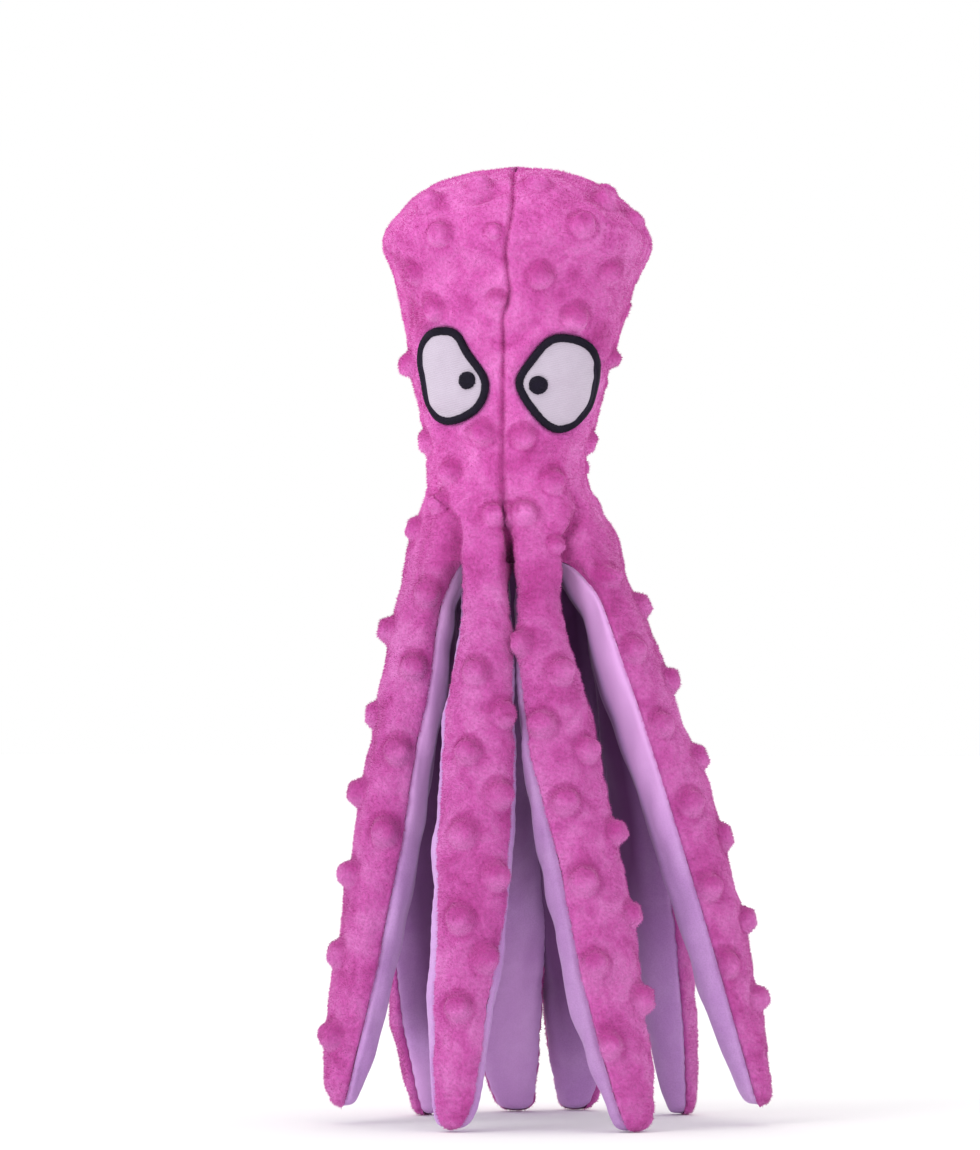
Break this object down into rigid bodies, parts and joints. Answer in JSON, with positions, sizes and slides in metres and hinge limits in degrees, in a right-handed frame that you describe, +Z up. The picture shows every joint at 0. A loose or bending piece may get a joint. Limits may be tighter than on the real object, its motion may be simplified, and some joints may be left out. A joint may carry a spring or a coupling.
{
  "type": "plush octopus",
  "caption": "Plush toy octopus with a stuffed head, embroidered eyes and soft legs that hang from a skirt and lift at their sewn roots.",
  "frame": {"origin": "on the surface that the leg tips stand on, below the middle of the whole toy's outline", "axes": "+Z up from the leg tips to the crown, -Y out of the face, +X to the viewer's right when facing the eyes"},
  "size_m": [0.1485, 0.1402, 0.32],
  "materials": {
    "plush": "matte",
    "velour": "matte",
    "fibre": "matte",
    "felt": "matte",
    "satin": "satin",
    "blown_plastic": "satin",
    "moulded_plastic": "satin",
    "film": "gloss"
  },
  "bodies": {
    "head": {"head_panel_front_left": "plush", "head_panel_front_right": "plush", "head_panel_back_left": "plush", "head_panel_back_right": "plush", "head_filling": "fibre", "underside_lining": "velour", "squeaker_bulb": "blown_plastic", "squeaker_reed_plug": "moulded_plastic", "eye_left_patch": "felt", "eye_left_border": "satin", "eye_left_pupil": "satin", "eye_right_patch": "felt", "eye_right_border": "satin", "eye_right_pupil": "satin"},
    "leg_front_left": {"leg_front_left_cover": "plush", "leg_front_left_lining": "velour", "leg_front_left_film": "film"},
    "leg_front_right": {"leg_front_right_cover": "plush", "leg_front_right_lining": "velour", "leg_front_right_film": "film"},
    "leg_side_left": {"leg_side_left_cover": "plush", "leg_side_left_lining": "velour", "leg_side_left_film": "film"},
    "leg_side_right": {"leg_side_right_cover": "plush", "leg_side_right_lining": "velour", "leg_side_right_film": "film"},
    "leg_hind_left": {"leg_hind_left_cover": "plush", "leg_hind_left_lining": "velour", "leg_hind_left_film": "film"},
    "leg_back_left": {"leg_back_left_cover": "plush", "leg_back_left_lining": "velour", "leg_back_left_film": "film"},
    "leg_back_right": {"leg_back_right_cover": "plush", "leg_back_right_lining": "velour", "leg_back_right_film": "film"},
    "leg_hind_right": {"leg_hind_right_cover": "plush", "leg_hind_right_lining": "velour", "leg_hind_right_film": "film"}
  },
  "joints": [
    {"name": "leg_front_left_root", "type": "hinge", "parent": "head", "child": "leg_front_left", "pos_m": [-0.02576, -0.032, 0.188], "axis": [-0.9239, 0.3827, 0], "range_deg": [-4, 90]},
    {"name": "leg_front_right_root", "type": "hinge", "parent": "head", "child": "leg_front_right", "pos_m": [0.00076, -0.032, 0.188], "axis": [-0.9239, -0.3827, 0], "range_deg": [-4, 90]},
    {"name": "leg_side_left_root", "type": "hinge", "parent": "head", "child": "leg_side_left", "pos_m": [-0.04737, -0.01444, 0.188], "axis": [-0.3827, 0.9239, 0], "range_deg": [-4, 90]},
    {"name": "leg_side_right_root", "type": "hinge", "parent": "head", "child": "leg_side_right", "pos_m": [0.02237, -0.01444, 0.188], "axis": [-0.3827, -0.9239, 0], "range_deg": [-4, 90]},
    {"name": "leg_hind_left_root", "type": "hinge", "parent": "head", "child": "leg_hind_left", "pos_m": [-0.04737, 0.01444, 0.188], "axis": [0.3827, 0.9239, 0], "range_deg": [-4, 90]},
    {"name": "leg_back_left_root", "type": "hinge", "parent": "head", "child": "leg_back_left", "pos_m": [-0.02576, 0.032, 0.188], "axis": [0.9239, 0.3827, 0], "range_deg": [-4, 90]},
    {"name": "leg_back_right_root", "type": "hinge", "parent": "head", "child": "leg_back_right", "pos_m": [0.00076, 0.032, 0.188], "axis": [0.9239, -0.3827, 0], "range_deg": [-4, 90]},
    {"name": "leg_hind_right_root", "type": "hinge", "parent": "head", "child": "leg_hind_right", "pos_m": [0.02237, 0.01444, 0.188], "axis": [0.3827, -0.9239, 0], "range_deg": [-4, 90]}
  ]
}
